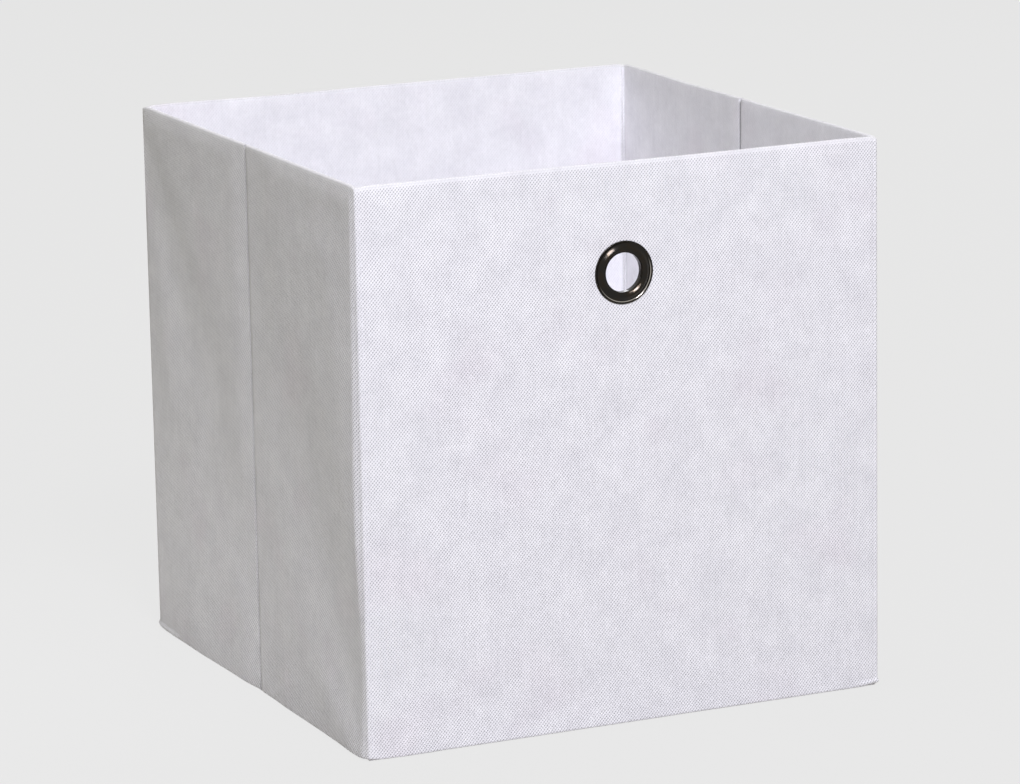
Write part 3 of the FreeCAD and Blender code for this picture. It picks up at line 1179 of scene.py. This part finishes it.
eyelet = {
    "segments": 160,
    # radius and distance out of the front wall, round the ring's section
    "ring": (
        (17.7, 0.0), (17.86, 0.28), (17.72, 0.60), (17.4, 0.74), (17.1, 0.72), (16.85, 0.56), (16.45, 0.30),
        (16.2, 0.22), (15.9, 0.30), (13.95, 1.56), (13.6, 1.70), (13.2, 1.76), (12.8, 1.62), (11.4, 0.68),
        (11.15, 0.3), (11.02, -0.2), (11.0, -0.8), (11.0, -2.2), (11.0, -3.5), (11.12, -3.95), (11.5, -4.22),
        (12.2, -4.3), (12.9, -4.24), (13.4, -4.0), (13.6, -3.66), (13.2, -3.62), (12.2, -3.62),
        (11.62, -3.5), (11.6, -2.0), (11.6, -0.1), (13.0, 0.0), (15.5, 0.0),
    ),
    "washer": (
        (11.75, -3.05), (13.5, -3.02), (16.4, -3.02), (16.95, -3.08), (17.02, -3.3), (16.9, -3.5),
        (16.2, -3.6), (14.4, -3.6), (12.0, -3.6), (11.75, -3.5),
    ),
}


# A closed section turned round the eyelet's axis
def turned(name, section, node):
    outline = np.array(section)
    for _ in range(2):
        ahead = np.roll(outline, -1, axis=0)
        outline = np.stack([outline * 0.75 + ahead * 0.25, outline * 0.25 + ahead * 0.75], 1).reshape(-1, 2)
    count, segments = len(outline), eyelet["segments"]
    vertices = []
    for k in range(segments):
        angle = math.tau * k / segments
        for radius, out in outline:
            x = eyeletAt["x"] + radius * math.cos(angle)
            z = eyeletAt["z"] + radius * math.sin(angle)
            vertices.append((x * mm, (-box["half"] - out) * mm, z * mm))
    piece = meshPiece(name, vertices, gridFaces(segments, count, ring=True, closed=True))
    outwardFaces(piece)
    dress(piece, blackNickel)
    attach(piece, "front")
    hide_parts(node)


turned("eyeletRing", eyelet["ring"], "eyelet_ring")
turned("eyeletWasher", eyelet["washer"], "eyelet_washer")
print("eyelet made")


# Short rounded stitches, each given as its two ends and the way it faces, in metres
def stitchMesh(name, runs):
    vertices, faces = [], []
    sides, radius, sink = thread["sides"], thread["radius"] * mm, thread["sink"] * mm
    section = thread["section"]
    for start, end, out in runs:
        along = end - start
        forward = along.normalized()
        across = forward.cross(out).normalized()
        lift = across.cross(forward).normalized()
        first = len(vertices)
        for share, wide in section:
            middle = start + along * share - lift * sink * (2 * share - 1) ** 4
            for k in range(sides):
                angle = math.tau * k / sides
                vertices.append(middle + (across * math.cos(angle) + lift * math.sin(angle)) * radius * wide)
        faces += gridFaces(len(section), sides, first=first, ring=True)
        last = first + (len(section) - 1) * sides
        faces.append(tuple(first + k for k in reversed(range(sides))))
        faces.append(tuple(last + k for k in range(sides)))
    return dress(meshPiece(name, vertices, faces), sewing)


def uprightRuns(s):
    draw = np.random.default_rng(41)
    nx, ny = s["outNormal"]
    lift = thread["lift"]
    runs = []
    z = thread["lowest"]
    while z + thread["length"] < box["height"] - thread["belowTop"]:
        length = thread["length"] * draw.uniform(0.9, 1.08)
        sway = draw.uniform(-thread["sway"], thread["sway"]) * mm
        start = pointOnFace(s, z, lift) + Vector((-ny, nx, 0)) * sway
        runs.append((start, pointOnFace(s, z + length, lift), Vector((nx, ny, 0))))
        z += thread["pitch"] * draw.uniform(0.96, 1.04)
    return runs


for side, end in sideHalves:
    flat = flatOf[end]
    runs = uprightRuns(cornerStations(side, end)[stitchStation])
    followCorner(stitchMesh("stitches" + flat.capitalize() + side.capitalize(), runs), side, end)


# Round the insert's cover, on its upper face
def insertRuns():
    inset = insert["stitchInset"]
    x, y = insert["halfX"] - inset, insert["halfY"] - inset
    corners = [Vector((a, b, 0)) for a, b in ((-x, -y), (x, -y), (x, y), (-x, y))]
    rise = Vector((0, 0, insert["high"] + thread["lift"]))
    draw = np.random.default_rng(47)
    runs = []
    for a, b in zip(corners, corners[1:] + corners[:1]):
        count = int((b - a).length / thread["pitch"])
        step = (b - a) / count
        for k in range(count):
            start = a + step * k
            end = start + step * (thread["length"] / thread["pitch"]) * draw.uniform(0.92, 1.06)
            runs.append(((start + rise) * mm, (end + rise) * mm, Vector((0, 0, 1))))
    return runs


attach(stitchMesh("stitchesInsert", insertRuns()), "insert")
print("stitches made")

# The boards keep their frame shapes
for name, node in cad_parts.items():
    if name.endswith("_board"):
        dress(node, greyboard)
